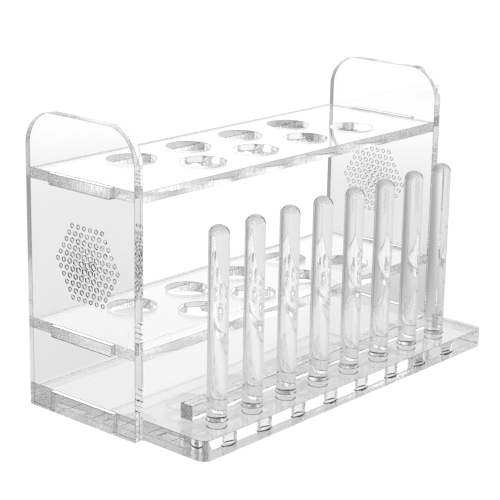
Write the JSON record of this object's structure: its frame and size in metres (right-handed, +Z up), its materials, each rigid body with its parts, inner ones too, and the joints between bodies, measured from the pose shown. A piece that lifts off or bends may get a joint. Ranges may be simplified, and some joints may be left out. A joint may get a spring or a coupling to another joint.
{
  "type": "test tube rack",
  "caption": "Clear acrylic test tube rack: two end panels, two drilled shelves on tab-and-slot joints, and a base plate with a row of domed drying pegs and a rest bar.",
  "frame": {"origin": "centre of the footprint's bounding box, on the surface that the rack stands on", "axes": "+X along the length, to the right as seen from the pegs; -Y towards the pegs; +Z up"},
  "size_m": [0.2336, 0.1116, 0.147],
  "materials": {
    "acrylic_sheet": "clear, polished faces and edges",
    "acrylic_plate": "clear, polished faces and edges",
    "acrylic_bar": "clear, sawn and polished",
    "acrylic_rod": "clear, polished, domed top"
  },
  "bodies": {
    "root": {"base_plate": "acrylic_plate", "left_end_panel": "acrylic_sheet", "right_end_panel": "acrylic_sheet", "top_shelf": "acrylic_sheet", "lower_shelf": "acrylic_sheet", "rest_bar": "acrylic_bar", "drying_peg_1": "acrylic_rod", "drying_peg_2": "acrylic_rod", "drying_peg_3": "acrylic_rod", "drying_peg_4": "acrylic_rod", "drying_peg_5": "acrylic_rod", "drying_peg_6": "acrylic_rod", "drying_peg_7": "acrylic_rod", "drying_peg_8": "acrylic_rod"}
  },
  "joints": []
}
